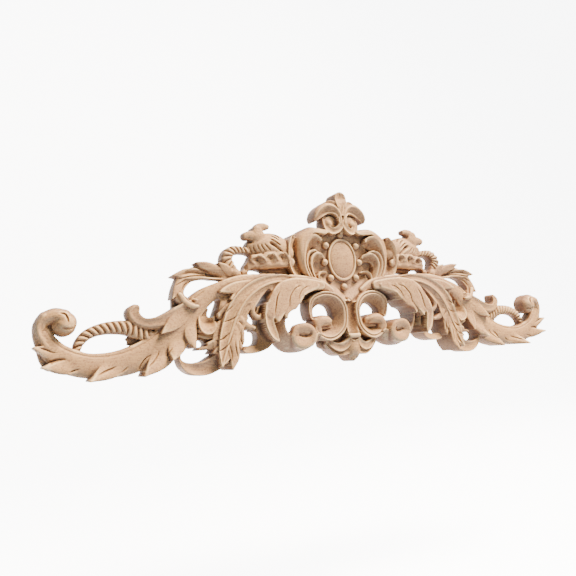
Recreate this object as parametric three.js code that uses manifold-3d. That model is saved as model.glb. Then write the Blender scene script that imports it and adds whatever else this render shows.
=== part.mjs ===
import * as THREE from "three";
import { mergeVertices } from "three/addons/utils/BufferGeometryUtils.js";
import Module from "manifold-3d";

// Driving sizes in millimetres
const LENGTH = 800;
const RELIEF = 40;

// The carving is laid out in shares of the length (one step is an eight-hundredth of it)
// and its heights in shares of the relief (one step is a fortieth of it)
const STEP = LENGTH / 800;
const LIFT = RELIEF / 40;
const MIDDLE = 116;

// Height above which nothing stands, and how far a cut passes the faces it cuts
const TALLEST = 45;
const OVERCUT = 5;

// Share of the way to a bend's centre that a stroke's inner edge may reach
const BEND_SHARE = 0.9;
// Half width from which a stroke's end is rounded
const BLUNT = 3.5;
// How far a stroke's straight runs may pass from its places
const SLACK = 3.3;

// Cross-sections: height at five places across a stroke, in shares of its half width
const SECTIONS = {
  crown: [-0.28, -0.06, 0, -0.06, -0.28],
  round: [-0.8, -0.2, 0, -0.2, -0.8],
  gouge: [0, -0.28, -0.38, -0.28, 0],
  deep: [0, -0.6, -0.85, -0.6, 0],
  blade: [-0.05, -0.26, 0, -0.26, -0.05],
  lapl: [-0.42, -0.25, -0.12, 0, -0.05],
  lapr: [-0.05, 0, -0.12, -0.25, -0.42],
  flat: [-0.12, -0.02, 0, -0.02, -0.12],
  bowl: [0, -0.25, -0.6, -0.95, -1.3],
  fold: [-0.1, -0.3, -0.2, 0, -0.3],
  dish: [-0.5, -0.25, -0.08, 0, -0.2],
};

// Sections whose top is one plane across the stroke
const PLAIN_SECTIONS = ["flat", "lapl", "lapr"];

// Strokes of one half: name, section, then places as [out from the middle, up, half width, height]
const STROKES = [
  ["stem", "crown", [[26, 96, 4, 23], [42, 103, 7, 25], [62, 107, 8, 27], [95, 110, 8, 27],
    [130, 111, 8, 26], [160, 108, 9, 25], [185, 101, 9, 23], [206, 91, 11, 22], [222, 77, 13, 22],
    [238, 58, 16, 22], [256, 41, 18, 21], [278, 28, 16.5, 20], [305, 19, 15, 19.5],
    [335, 17, 14, 19.5], [358, 22, 14, 20], [376, 32, 13, 20], [386, 45, 11, 19], [390, 54, 9.5, 18]]],
  ["volute", [-0.9, -0.05, 0, -0.75, -1.5], [[386, 45, 10, 20], [391.5, 55, 7.8, 20],
    [392, 64, 7.2, 20], [387, 72, 7.5, 21.5]]],
  ["volute_floor", "flat", [[385, 54, 7, 15], [384, 61, 7, 13], [381, 67, 6, 12]]],
  ["volute_top", [-1.2, -0.3, 0, -0.15, -0.8], [[392, 62, 6.8, 19], [388.5, 70, 7.5, 21.5],
    [378, 74.5, 8.5, 24], [369, 71.5, 10, 27.5]]],
  ["volute_end", [-0.95, -0.22, 0, -0.22, -0.95], [[367, 66.5, 12, 28.5], [368.5, 64, 12.5, 29]]],
  ["lobe1", "lapr", [[362, 28, 6, 16], [380, 34, 8, 20], [399, 41, 1.2, 24]]],
  ["lobe_base", "flat", [[392, 40, 4.5, 12], [388, 29, 6, 13], [383, 22, 7, 13]]],
  ["lobe2", "lapr", [[342, 22, 8, 15], [366, 20, 10, 21], [391, 19.5, 1.2, 30]]],
  ["lobe3", "lapr", [[298, 20, 8, 15], [322, 12, 10, 22], [345, 1.5, 1.2, 34]]],
  ["lobe4", "lapr", [[244, 40, 9, 16], [264, 21, 12, 23], [287, 2, 1.2, 32]]],
  ["lobe5", "lapr", [[233, 52, 8, 18], [246, 33, 10, 25], [254, 18, 1.4, 34]]],
  ["lobe6", "flat", [[225, 64, 6, 19], [229, 46, 7.5, 25], [227, 28, 1.2, 32]]],
  ["rope", "round", [[356, 34, 4.2, 13], [352.5, 44, 5, 14], [343, 53, 5.8, 15], [328, 58, 6.6, 16.5],
    [312, 59, 7.6, 17.5], [299, 57.5, 8.4, 18.5], [290, 53, 8.4, 18.5], [277, 48, 7, 18.5]]],
  ["rope_floor", "flat", [[297, 43, 5, 5], [288, 44, 6, 6], [276, 47, 6, 10]]],
  ["hook", [-0.9, -0.3, -0.3, -0.2, 0], [[222, 84, 5, 23], [236, 74, 9, 25], [250, 65.5, 10, 25.5],
    [266, 61.5, 7.5, 24.5], [281, 61.5, 6.2, 22], [290, 66, 7, 20.5], [294.5, 74, 7.4, 19.5],
    [291.5, 79.5, 5.2, 19]]],
  ["hook_lobe", "flat", [[236, 70, 9, 22], [249, 60, 8, 25], [264, 49.5, 1.2, 28]]],
  ["upper", "fold", [[160, 117, 5, 18], [176, 120, 8.5, 17], [193, 122, 9, 16], [210, 121, 9.5, 16],
    [226, 115, 9.5, 17], [236, 104, 7.5, 18], [238, 93, 7, 20], [232, 84, 5, 23], [224, 79.5, 3, 26]]],
  ["upper_tip0", "lapl", [[168, 118, 5, 17], [178, 127, 5, 19], [186, 133, 1, 19]]],
  ["upper_tip1", "lapl", [[180, 121, 6, 16], [200, 128, 6.5, 18], [215, 133.5, 1, 18]]],
  ["upper_tip2", "lapl", [[208, 119, 6, 16], [228, 119.5, 6.5, 19], [245.5, 117.5, 1, 20]]],
  ["upper_tip3", "lapl", [[237, 112, 4, 16], [241, 100, 5, 19], [247.5, 90, 1, 21]]],
  ["upper_back", "flat", [[240, 93, 5.5, 11], [240, 80, 6, 9]]],
  ["upper_curl", "round", [[239, 94, 3, 23], [233.5, 84.5, 3.4, 26], [226, 79.5, 3.2, 27.5],
    [219, 79, 2, 27]]],
  ["small_rope", "round", [[137, 151, 4.5, 16], [148, 151, 4.4, 16], [157, 151.5, 5, 16.5],
    [165, 150, 6, 17.5], [171.5, 144.5, 7, 18.5], [173, 136, 7.8, 19], [168, 127.5, 7.2, 19]]],
  ["bud", [-0.55, -0.13, 0, -0.13, -0.55], [[141, 151, 6, 15], [131, 155, 13, 21], [116, 156, 18, 24],
    [102, 154.5, 17.5, 24], [88, 148, 11, 22]]],
  ["bud_neck", "crown", [[126, 162, 12, 20], [129, 169, 9.5, 21.5], [130, 177, 6, 20.5]]],
  ["bud_tip_mid", "lapl", [[129, 172, 5, 19], [134, 180, 1.2, 16]]],
  ["bud_lip", [-0.25, -0.05, 0, -0.05, -0.15], [[86, 134, 6, 23], [98, 136, 8.5, 23],
    [116, 136, 9.5, 22], [132, 134, 9, 20], [144, 129.5, 7.5, 17], [150, 121.5, 5, 15],
    [145, 117, 3, 14]]],
  ["bud_floor", "flat", [[70, 114, 7, 13], [92, 120, 7, 12], [114, 122, 6, 11], [136, 122, 5, 9]]],
  ["ear", [0, -0.6, -1.2, -1.45, -1.3], [[70, 112, 3.5, 25], [79, 124, 8, 26], [81, 140, 9.5, 27],
    [80, 156, 9.5, 27], [78, 166, 6.5, 25]]],
  ["crest", [-2.2, -0.9, -0.2, 0, 0], [[60, 110, 3, 25], [67.5, 126, 3.5, 26], [71, 145, 4.5, 26.5],
    [71, 156, 6, 26.5], [68.5, 166, 8, 26], [61, 173, 7, 26.5], [50, 179.3, 5.5, 26.5],
    [40, 179.3, 5.2, 25.5], [31, 178.5, 5, 24.5], [25, 179, 3.5, 24]]],
  ["crest_floor", "flat", [[10, 178, 6, 12], [28, 171, 8, 12], [46, 168, 8, 14]]],
  ["finger1", [0, -0.15, -0.9, -1.5, -1.7], [[46, 102, 3.5, 25], [57, 114, 4, 26],
    [63.5, 130, 4.5, 27], [62, 146, 5.5, 27.5], [56.5, 158, 8, 27.5], [49, 164.5, 8.5, 27],
    [42, 164, 6.5, 25]]],
  ["finger3", [0, -0.15, -0.8, -1.5, -1.8], [[42, 103, 2.5, 23], [49, 114, 3, 24],
    [53.5, 127, 3.5, 25.5], [52.5, 136, 4.8, 26], [47, 141.5, 6, 25.5], [40, 142, 5.8, 24],
    [35, 141, 4, 20]]],
  ["finger4", [0, -0.2, -1.3, -2.4, -2.8], [[8, 80, 2.5, 26], [18, 88, 3, 25], [29, 97, 3.3, 24],
    [38, 106, 3.6, 23], [41.5, 113.5, 3.8, 22.5], [38, 119, 3.8, 21.5], [31, 119.5, 3.2, 19]]],
  ["throat", [0, 0, 0, 0, 0], [[0, 102, 20, 12.2], [0, 92, 17, 12.8], [0, 82, 12, 14],
    [0, 72, 9, 16.5]]],
  ["throat_side", [0, -0.25, -0.55, -0.9, -1.25], [[3.5, 85, 5, 21], [13, 93.5, 6.5, 20.5],
    [24, 102.5, 7, 19.5], [33, 109.5, 6, 18.5], [35.5, 114, 4, 17]]],
  ["throat_low", [0.85, 0.25, 0, 0.25, 0.85], [[0, 84, 4, 14], [0, 77, 8.5, 15.5], [0, 64, 9, 17.5],
    [0, 52, 8.5, 19], [0, 42, 9, 21], [0, 34, 9.5, 24]]],
  ["cup", [0.1, 0.1, -0.5, -1.15, -1.5], [[59, 61, 5, 23], [60, 70, 6, 24], [56, 79, 8.5, 25],
    [47, 83, 10, 26], [36, 83.5, 10.5, 27], [25, 79.5, 11, 28], [18.5, 70.5, 11.2, 28],
    [18, 59, 11.2, 28], [20.5, 48, 11, 28], [28, 40, 10.5, 27.5], [37, 37, 10, 27],
    [46, 39, 8.5, 26.5], [52, 44, 7, 26.5]]],
  ["cup_curl", [-0.8, -0.14, 0, -0.14, -0.8], [[53, 42, 6.5, 27], [53.5, 49, 7, 28.5],
    [48, 54, 7.5, 29], [40, 54.5, 7.5, 28], [34, 53, 6, 25], [31, 51, 3.5, 21]]],
  ["cup_floor2", "flat", [[30, 47.5, 4, 18], [44, 47, 4, 19]]],
  ["scroll2", [0, -0.25, -0.7, -1.4, -2.3], [[97, 97, 6, 30], [108, 84, 7, 33], [112, 66, 7.5, 33],
    [111.5, 50, 8, 32], [106, 36, 9, 31], [94, 27.5, 11, 31], [78, 25, 10, 31], [63, 28, 8, 31],
    [55, 33, 6, 30]]],
  ["scroll2_end", "dish", [[91, 33, 6, 32.5], [87, 27.6, 6.8, 33.2], [80.3, 25.8, 7.2, 34],
    [71, 28.5, 7, 34.5], [67, 36, 6.5, 35], [70.5, 42.5, 6.8, 35], [76, 45.3, 6.8, 35]]],
  ["scroll2_floor", "flat", [[88, 37, 6, 30.5], [68, 37, 6, 31]]],
  ["cup_back", "flat", [[76, 84, 6, 9], [66, 91, 7, 9], [50, 97, 6, 10]]],
  ["scroll3", [0.45, 0.1, -0.2, -0.4, -0.1], [[128, 82, 9, 26], [131, 66, 11.5, 24],
    [133, 50, 13.5, 23], [134, 37, 13, 23], [141, 28, 8.5, 22], [151, 24, 6, 23], [159, 23, 4, 24]]],
  ["scroll4", "gouge", [[184, 18, 8, 27], [198, 11, 9.5, 25], [212, 5, 8.5, 23.5], [226, 5, 7.5, 22],
    [236, 11.5, 6.5, 22], [240.5, 22, 5, 22]]],
  ["leaf2", "blade", [[72, 102, 7, 29], [98, 107, 9, 33], [119, 106, 10, 34], [137, 100, 12, 34.5],
    [152, 90.5, 13.5, 34.5], [163, 79, 14.5, 34], [172, 65, 15, 33], [179, 49, 14, 32.5],
    [185, 34, 12, 33], [190, 20, 8, 34], [196, 6, 1.5, 36]]],
  ["leaf2_corner", "flat", [[142, 104, 7, 29], [166, 101, 7.5, 29.5], [180, 98.5, 5, 30],
    [190.5, 96, 1.4, 31]]],
  ["leaf2_point", "flat", [[148, 98, 8, 30], [164, 92.5, 7.5, 30], [177.5, 86.5, 1.4, 31]]],
  ["leaf2_fold", "flat", [[166, 86, 9, 26], [181, 82, 9, 21], [192, 74, 7.5, 17], [195, 67, 6, 17]]],
  ["leaf2_web", "flat", [[186, 94, 4, 20], [184, 86, 7, 23], [184, 78, 8, 25], [187, 70, 6, 22]]],
  ["leaf2_web_low", "flat", [[190, 54, 7, 26], [194, 42, 8, 26.5], [195, 31, 8, 27], [191, 20, 6, 29],
    [187, 11, 2.5, 31]]],
  ["leaf2_lobe2", "lapl", [[160, 78, 10, 31.5], [176, 73.5, 9.5, 29], [189, 67, 5.5, 25]]],
  ["bud_cup", [0.05, -0.3, -0.5, -0.3, 0.05], [[207, 68, 9, 17], [207.5, 62, 11, 22],
    [207.5, 56, 11, 26], [206, 50.5, 6, 27]]],
  ["cup_floor", "flat", [[216, 41, 4, 14], [205, 37, 5, 14], [190, 40, 6, 16]]],
  ["leaf2_lobe4", "lapl", [[178, 41, 9, 30], [198, 33.5, 6.5, 27], [220, 27.5, 1.2, 23]]],
  ["leaf2_tip", "lapr", [[178, 46, 7, 31], [180, 32, 7.5, 34], [179, 16, 6, 36], [184, 1.5, 1.4, 38]]],
  ["leaf2_in1", "round", [[166, 61, 5, 31], [158, 53, 4.5, 31], [148, 49.5, 2, 30]]],
  ["leaf2_side", "lapr", [[172, 52, 6, 31], [169, 40, 7, 31], [169, 26, 2, 31]]],
  ["leaf3", "flat", [[46, 102, 6, 30], [72, 103.5, 8, 33], [93, 100, 11, 36], [107, 93, 12.5, 37.5],
    [118.5, 81, 11, 38.5], [127, 68, 9, 39]]],
  ["leaf3_long", "gouge", [[127, 74, 8, 38], [131, 61, 6.5, 39.5], [129.5, 49, 6, 40],
    [126, 39, 5, 41], [122, 31.5, 1.6, 42]]],
  ["leaf3_curl", [0.8, 0.45, 0, -0.7, -1.4], [[106, 99, 7, 29], [117, 93.5, 8, 26], [125, 85, 8.5, 22],
    [132, 75, 8, 20], [137.5, 67, 5, 22]]],
  ["leaf3_lobe1", "lapr", [[94, 97, 9, 36], [109, 83, 10.5, 38], [117, 68, 8, 39.5],
    [119, 56, 1.6, 40]]],
  ["leaf3_lobe2", "lapr", [[82, 99, 8, 35], [96, 87, 10, 37], [103, 74, 8, 38], [106, 61, 2.4, 39]]],
  ["leaf3_lobe3", "lapr", [[70, 101, 7, 33], [82, 94, 9, 35.5], [91, 82, 8, 37], [96, 69, 2, 38]]],
  ["leaf3_lobe4", "lapr", [[56, 102, 6, 32], [68, 98.5, 6.5, 34], [77, 89.5, 1.5, 36]]],
  ["drop", "round", [[0, 30, 5, 29], [0, 20, 9, 31], [0, 11, 11, 30], [0, 5, 7.5, 26]]],
  ["collar", "round", [[-6, 32, 3.2, 33.5], [6, 32, 3.2, 33.5]]],
  ["fan1", "gouge", [[6, 31, 2, 31], [11, 22, 4.5, 30], [20, 17.5, 5.5, 28], [29, 20, 5, 26],
    [38, 27, 3, 24]]],
  ["fan2", "gouge", [[5, 26, 3, 29], [10, 15, 6, 28], [19, 12, 6, 26], [28, 15.5, 5.5, 24],
    [38, 23, 4, 22]]],
  ["shell_floor", "flat", [[8, 30, 7, 15], [22, 25, 8, 14], [38, 24, 7, 13]]],
  ["fin_mid", [-0.15, -0.35, -0.45, -0.35, -0.15], [[0, 178, 3, 22], [0, 198, 4, 25],
    [0, 211, 5.5, 26.5], [0, 219, 9, 28], [0, 225.5, 9.8, 26]]],
  ["fin_floor", "flat", [[8, 182, 5, 11], [13, 194, 12, 12], [19, 203, 8, 14]]],
  ["fin_leaf", [-0.5, -0.75, -0.3, 0, -0.45], [[4, 190, 2.5, 27], [6, 203, 4, 27], [13, 210, 6.5, 26],
    [23, 211, 8, 25], [32.5, 205.5, 7.5, 24], [38.5, 199, 5.3, 22], [40.5, 195, 2.6, 19]]],
  ["fin_leaf2", "gouge", [[2, 203, 3, 27], [7, 213, 4.5, 26], [14, 217.5, 4.8, 24], [22, 217, 4, 20],
    [28, 213.5, 2.5, 17]]],
  ["fin_ring", "gouge", [[4, 196, 3, 27], [3, 188, 4, 27], [8, 181, 4.5, 26], [16, 179, 5, 24],
    [22.5, 183, 5, 22], [25, 190, 4, 20], [24, 197, 4, 17]]],
];

// Strokes that stand clear of the back: the same, then the height of their underside
const CLEAR_STROKES = [
  ["ring_top", "dish", [[75, 45, 6.6, 35], [80.3, 46, 6.6, 35], [88.8, 43.8, 6.2, 34],
    [92.8, 37.5, 6, 33]], 23],
  ["bud_tip_out", "round", [[133, 169, 7, 21], [140, 170, 6, 20], [146, 169, 5.2, 18.5]], 8],
  ["bud_tip_in", "round", [[129, 172, 7, 20], [127, 179.5, 6.5, 19], [120, 182.5, 5, 18],
    [114.5, 182.5, 3.5, 17.5]], 8],
  ["leaf3_rim", "round", [[140, 88, 2.6, 31.5], [146.5, 79.5, 3, 32], [150, 71, 3.4, 32.5],
    [147, 64.5, 3.4, 32], [140.5, 62.3, 3.2, 31], [136.5, 66, 2.4, 29]], 21],
];

// Openings right through, as corners [out from the middle, up]
const OPENINGS = [
  [[221.5, 33], [218, 38], [213, 38.5], [209.5, 34.5], [211, 31], [217, 30.5]],
  [[351, 34], [349, 39], [344.5, 44.5], [335, 49], [324, 50.7], [312, 50], [304, 46.5], [299.5, 42],
    [302, 38], [311, 34.5], [322, 32.2], [338, 31]],
  [[194.5, 111.5], [205, 114], [220, 111], [229.5, 103.5], [233, 96], [230, 91.5], [221, 97],
    [208, 105]],
  [[193, 88], [199, 82], [203.5, 74], [203, 66.5], [197.5, 66], [192.5, 76], [189, 86]],
  [[241.5, 22], [236, 29], [229, 30], [223.5, 27.5], [218, 24.5], [212.5, 23], [210.5, 19],
    [212, 14.5], [218, 12.5], [227, 12], [236, 13.5], [241, 17]],
  [[126.5, 97.5], [132, 93], [139, 86], [143.5, 79.5], [140.5, 76.5], [134.5, 78], [130.5, 83],
    [126, 89.5], [123, 95]],
  [[153, 72], [147, 69], [141, 64], [138.5, 58], [141, 54], [150, 54], [156, 59], [157, 66]],
  [[162, 45], [150, 45.5], [141, 44], [140.5, 33], [145, 28.5], [155, 27.5], [162.5, 31]],
  [[105, 60], [102, 66], [94, 70], [84, 71.5], [75, 70], [68, 65], [63.5, 58], [62.5, 53], [72, 53],
    [82, 52], [87, 47.5], [91, 43], [96.5, 39.5], [101, 40.5], [104, 46], [105.5, 52]],
  [[52.5, 63], [53, 68], [49.5, 74], [43, 77.5], [35, 78], [28, 75], [24.5, 69], [23, 62], [23, 56],
    [27, 57], [34, 60.5], [44, 62]],
  [[165, 140], [161, 145.5], [152, 146], [144, 145], [142, 142], [145, 136], [149, 131], [151, 126],
    [156, 122.5], [160, 125], [163.5, 131]],
  [[146, 121.5], [141.5, 125.5], [131, 125], [123.5, 122.5], [123, 119.5], [133, 118.5], [143, 118.5]],
  [[110.5, 120.5], [100, 121], [91, 119.5], [91, 116.5], [101, 116.5], [110.5, 117]],
];

// Recessed field inside the cartouche and the oval on it, one middle for both
const FIELD = { up: 138, across: 50, rise: 40, height: 12 };
const OVAL = { above: 1.5, across: 23.4, rise: 30.4, rim: 17, groove: 14, dome: 18.5 };

// Beads on the field: [out, up from the field's middle], and their size
const BEADS = [
  [0, 36.8], [25, 21.2], [29, -2.5], [21, -24.5], [0, -37],
];
const BEAD = { radius: 5.2, rise: 7.5 };

// Balls elsewhere: [out, up, radius, height of foot, height of dome]
const BALLS = [
  [163, 120, 7.2, 13, 7],
  [19.5, 190, 7, 13, 9],
];
// Sides of the round bodies
const BALL_SIDES = 8;
const OVAL_SIDES = 16;

const wasm = await Module();
wasm.setup();

function toSolid(points, faces) {
  const geometry = new THREE.BufferGeometry();
  geometry.setAttribute("position", new THREE.Float32BufferAttribute(points.flat(), 3));
  geometry.setIndex(faces.flat());
  const merged = mergeVertices(geometry, 1e-5);
  return new wasm.Manifold(new wasm.Mesh({
    numProp: 3,
    vertProperties: new Float32Array(merged.attributes.position.array),
    triVerts: new Uint32Array(merged.index.array),
  }));
}

function place(out, up, height, side) {
  return [side * out * STEP, -height * LIFT, (up - MIDDLE) * STEP];
}

// Turns the faces round on the mirrored side, so that they still look outward
function facing(faces, side) {
  return side > 0 ? faces : faces.map(([a, b, c]) => [a, c, b]);
}

function joinAll(solids) {
  let row = solids;
  while (row.length > 1) {
    const next = [];
    for (let i = 0; i < row.length; i += 2) {
      next.push(i + 1 < row.length ? row[i].add(row[i + 1]) : row[i]);
    }
    row = next;
  }
  return row[0];
}

// Leaves out a place that a straight run between its neighbours passes close by
function thinned(places) {
  const kept = [places[0]];
  for (let i = 1; i < places.length - 1; i += 1) {
    const before = kept[kept.length - 1];
    const after = places[i + 1];
    const run = Math.hypot(after[0] - before[0], after[1] - before[1]);
    const along = ((places[i][0] - before[0]) * (after[0] - before[0])
      + (places[i][1] - before[1]) * (after[1] - before[1])) / (run * run);
    const off = places[i].map((value, k) => Math.abs(before[k] + (after[k] - before[k]) * along - value));
    if (Math.hypot(off[0], off[1]) > SLACK || off[2] > SLACK || off[3] > SLACK) {
      kept.push(places[i]);
    }
  }
  kept.push(places[places.length - 1]);
  return kept;
}

// Rounds a blunt end by narrower places beyond it
function capEnd(end, inner) {
  const [out, up, half, height] = end;
  const run = Math.hypot(out - inner[0], up - inner[1]);
  const along = [(out - inner[0]) / run, (up - inner[1]) / run];
  if (half < BLUNT) {
    return [];
  }
  return [[out + along[0] * half * 0.8, up + along[1] * half * 0.8, half * 0.45, height]];
}

// How far along the square line from a place its neighbour's square line crosses it
function crossing(spot, normal, other, otherNormal) {
  const spread = normal[0] * otherNormal[1] - normal[1] * otherNormal[0];
  if (Math.abs(spread) < 1e-6) {
    return Infinity;
  }
  return ((other[0] - spot[0]) * otherNormal[1] - (other[1] - spot[1]) * otherNormal[0]) / spread;
}

// Cross-section rings along the path, square to the way it runs, kept from crossing inside a bend
function ringsOf(path, offsets, shares) {
  const normals = path.map((_, i) => {
    const ahead = path[Math.min(i + 1, path.length - 1)];
    const behind = path[Math.max(i - 1, 0)];
    const run = Math.hypot(ahead[0] - behind[0], ahead[1] - behind[1]);
    return [-(ahead[1] - behind[1]) / run, (ahead[0] - behind[0]) / run];
  });
  return path.map((spot, i) => {
    const reach = { left: spot[2], right: spot[2] };
    [i - 1, i + 1].filter((j) => j >= 0 && j < path.length).forEach((j) => {
      const limit = BEND_SHARE * crossing(spot, normals[i], path[j], normals[j]);
      if (limit > 0) {
        reach.left = Math.min(reach.left, limit);
      } else {
        reach.right = Math.min(reach.right, -limit);
      }
    });
    return shares.map((share, k) => {
      const step = share * (share > 0 ? reach.left : reach.right);
      return [
        spot[0] + normals[i][0] * step,
        spot[1] + normals[i][1] * step,
        spot[3] + offsets[k] * spot[2],
      ];
    });
  });
}

// Closed body through the rings of a stroke, from a level up to its top
function tube(rings, side, level) {
  const count = rings[0].length;
  const size = count + 2;
  const middle = Math.floor(count / 2);
  const points = [];
  const faces = [];
  rings.forEach((ring, i) => {
    ring.forEach((top) => points.push(place(top[0], top[1], top[2], side)));
    points.push(place(ring[0][0], ring[0][1], level, side));
    points.push(place(ring[count - 1][0], ring[count - 1][1], level, side));
    if (i === rings.length - 1) {
      return;
    }
    const here = i * size;
    const next = here + size;
    const low = count;
    const high = count + 1;
    for (let k = 0; k < count - 1; k += 1) {
      faces.push([here + k, next + k, here + k + 1]);
      faces.push([here + k + 1, next + k, next + k + 1]);
    }
    faces.push([here + low, next + low, here]);
    faces.push([here, next + low, next]);
    faces.push([here + high, here + count - 1, next + high]);
    faces.push([here + count - 1, next + count - 1, next + high]);
    faces.push([here + low, here + high, next + low]);
    faces.push([here + high, next + high, next + low]);
  });
  [0, (rings.length - 1) * size].forEach((ring) => {
    const low = ring + count;
    const high = ring + count + 1;
    const cap = [[low, ring + middle, high]];
    for (let k = 0; k < count - 1; k += 1) {
      cap.push([k < middle ? low : high, ring + k, ring + k + 1]);
    }
    faces.push(...(ring === 0 ? cap : cap.map(([x, y, z]) => [x, z, y])));
  });
  return toSolid(points, facing(faces, side));
}

function stroke(section, places, side, level) {
  const five = Array.isArray(section) ? section : SECTIONS[section];
  const plain = PLAIN_SECTIONS.includes(section);
  const shares = plain ? [-1, 1] : [-1, 0, 1];
  const offsets = plain ? [five[0], five[4]] : [five[0], five[2], five[4]];
  const spots = thinned(places);
  const end = capEnd(spots[spots.length - 1], spots[spots.length - 2]);
  const rings = ringsOf([...spots, ...end], offsets, shares);
  return tube(rings, side, level);
}

// Upright block on a closed outline, from the back plane to a height
function block(corners, from, to, side) {
  const flat = corners.map(([out, up]) => new THREE.Vector2(out, up));
  if (THREE.ShapeUtils.isClockWise(flat)) {
    flat.reverse();
  }
  const caps = THREE.ShapeUtils.triangulateShape(flat, []);
  const count = flat.length;
  const points = [];
  flat.forEach((spot) => points.push(place(spot.x, spot.y, from, side)));
  flat.forEach((spot) => points.push(place(spot.x, spot.y, to, side)));
  const faces = [];
  caps.forEach(([a, b, c]) => {
    faces.push([a, c, b]);
    faces.push([a + count, b + count, c + count]);
  });
  for (let i = 0; i < count; i += 1) {
    const j = (i + 1) % count;
    faces.push([i, j, i + count]);
    faces.push([j, j + count, i + count]);
  }
  return toSolid(points, facing(faces, side));
}

// Round body turned about the depth direction: rings of [share of the radius, height]
function turned(out, up, across, rise, rings, sides, side) {
  const points = [];
  rings.forEach(([share, height]) => {
    for (let k = 0; k < sides; k += 1) {
      const angle = 2 * Math.PI * k / sides;
      const spot = [out + across * share * Math.cos(angle), up + rise * share * Math.sin(angle)];
      points.push(place(spot[0], spot[1], height, side));
    }
  });
  const top = points.length;
  const tip = rings[rings.length - 1][1];
  points.push(place(out, up, tip, side));
  const foot = points.length;
  points.push(place(out, up, 0, side));
  const faces = [];
  for (let i = 0; i < rings.length - 1; i += 1) {
    for (let k = 0; k < sides; k += 1) {
      const a = i * sides + k;
      const b = i * sides + (k + 1) % sides;
      faces.push([a, b, a + sides]);
      faces.push([b, b + sides, a + sides]);
    }
  }
  for (let k = 0; k < sides; k += 1) {
    const b = (k + 1) % sides;
    faces.push([(rings.length - 1) * sides + k, (rings.length - 1) * sides + b, top]);
    faces.push([k, foot, b]);
  }
  return toSolid(points, facing(faces, side));
}

function dome([out, up, radius, foot, height], side) {
  const rings = [[1, 0], [1, foot], [0.72, foot + height * 0.7], [0.01, foot + height]];
  return turned(out, up, radius, radius, rings, BALL_SIDES, side);
}

const beads = BEADS.map(([out, up]) => [out, FIELD.up + up, BEAD.radius, FIELD.height, BEAD.rise]);
const solids = [];
for (const side of [1, -1]) {
  for (const [, section, places] of STROKES) {
    if (places.every((spot) => spot[0] === 0) && side < 0) {
      continue;
    }
    solids.push(stroke(section, places, side, 0));
  }
  [...beads, ...BALLS].filter((spot) => spot[0] > 0 || side > 0)
    .forEach((spot) => solids.push(dome(spot, side)));
}
solids.push(turned(0, FIELD.up, FIELD.across, FIELD.rise, [[1, 0], [1, FIELD.height]], OVAL_SIDES, 1));
solids.push(turned(0, FIELD.up + OVAL.above, OVAL.across, OVAL.rise, [
  [1, 0], [1, OVAL.rim], [0.86, OVAL.rim], [0.82, OVAL.groove], [0.45, 0.3 * OVAL.groove + 0.7 * OVAL.dome],
  [0.01, OVAL.dome],
], OVAL_SIDES, 1));
let body = joinAll(solids);
for (const side of [1, -1]) {
  for (const corners of OPENINGS) {
    body = body.subtract(block(corners, -OVERCUT, TALLEST + OVERCUT, side));
  }
  for (const [, section, places, level] of CLEAR_STROKES) {
    body = body.add(stroke(section, places, side, level));
  }
}

const mesh = body.getMesh();
const geometry = new THREE.BufferGeometry();
geometry.setAttribute("position", new THREE.Float32BufferAttribute(mesh.vertProperties, 3));
geometry.setIndex(Array.from(mesh.triVerts));
geometry.computeVertexNormals();
const wood = new THREE.MeshStandardMaterial({ color: 0xd9b48f, roughness: 0.75, metalness: 0 });
const applique = new THREE.Mesh(geometry, wood);
applique.name = "applique";
const group = new THREE.Group();
group.name = "carved_applique";
group.add(applique);

export default group;
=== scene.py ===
import math
import bpy
import numpy as np
from mathutils import Matrix


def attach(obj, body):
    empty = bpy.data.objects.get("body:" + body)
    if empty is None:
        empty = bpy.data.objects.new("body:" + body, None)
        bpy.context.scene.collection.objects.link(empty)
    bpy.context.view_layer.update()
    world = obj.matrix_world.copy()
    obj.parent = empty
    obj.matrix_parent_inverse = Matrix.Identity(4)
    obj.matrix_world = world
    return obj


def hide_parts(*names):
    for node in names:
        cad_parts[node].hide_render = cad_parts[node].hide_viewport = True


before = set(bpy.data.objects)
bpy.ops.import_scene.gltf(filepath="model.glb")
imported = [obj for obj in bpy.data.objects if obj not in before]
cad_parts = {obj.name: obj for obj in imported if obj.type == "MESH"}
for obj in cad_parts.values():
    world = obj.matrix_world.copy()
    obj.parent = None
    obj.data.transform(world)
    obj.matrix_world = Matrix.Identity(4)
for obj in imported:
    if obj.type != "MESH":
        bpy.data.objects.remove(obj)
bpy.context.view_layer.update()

# Sizes in millimetres. A place on the carving is s, the distance outward from the middle,
# and z, the height above the tip of the drop. Heights are measured forward from the flat back.
MM = 0.001
MIDDLE = 116.0
SIDE = 404.0
LOW = -6.0
HIGH = 240.0
CELL = 0.325
SKIP = 2
NO_WOOD = -1.0
FAR_OUTSIDE = -20.0
LOWEST_FACE = 3.0
TRIANGLES = 170000
SHARP_ANGLE = 42

# Steps between two rows of a stroke, a vein and an opening
STROKE_STEPS = 14
VEIN_STEPS = 12
OPENING_STEPS = 8

# Rounded edges, the steps between strokes, and the fillet where two strokes meet
EDGE_ROUND = 1.2
STEP_ROUND = 1.5
STEP_ROUND_SHARE = 0.4
STEP_SHARE = 0.6
TUCK = 2.5
TUCK_SHARE = 0.25

# Plain round strokes: rise as a share of the half width, and how near the edge it falls upright
ROUND_RISE = 0.8
ROUND_FULLNESS = 0.97

# Twist of the ropes: lean across the rope, depth between beads, and fullness of a bead
TWIST_LEAN = 0.5
TWIST_DEPTH = 3.8
TWIST_POWER = 0.7

# Narrow cuts along a stroke: depth, distance from the edge or the middle, and width
GROOVE = (1.2, 4.2, 0.7)
GROOVE_START = 0.45
RIB = (1.1, 2.2, 0.6)
RIM_CUT = (2.4, 3.4, 1.1)

# Veins: how soon they reach their depth, and how sharp they are below
VEIN_TAPER = 6
VEIN_SHARPNESS = 1.2

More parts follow.
